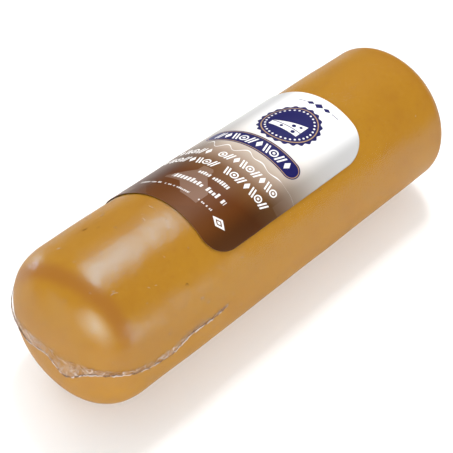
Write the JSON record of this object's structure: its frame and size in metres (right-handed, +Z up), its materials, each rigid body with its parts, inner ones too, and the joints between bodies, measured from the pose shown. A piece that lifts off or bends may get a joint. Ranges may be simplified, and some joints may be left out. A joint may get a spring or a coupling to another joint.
{
  "type": "provolone cheese",
  "caption": "Small smoked provolone log with rounded ends, shrunk tight in a clear film bag with folded seal tails, and a rounded printed label wrapped over its top.",
  "frame": {"origin": "on the surface that the log rests on, under the middle of its length", "axes": "+X along the log from its fuller dome to its blunter end, +Z up through the middle of the label's print"},
  "size_m": [0.1627, 0.0527, 0.0522],
  "materials": {
    "smoked_cheese": "smoked ochre rind seen through tight clear film, satin gloss",
    "clear_film": "clear shrink film, cloudy where it is sealed and folded",
    "printed_label": "glossy coated paper printed white to dark brown"
  },
  "bodies": {
    "root": {"wrapped_cheese": "smoked_cheese", "label": "printed_label"}
  },
  "joints": []
}
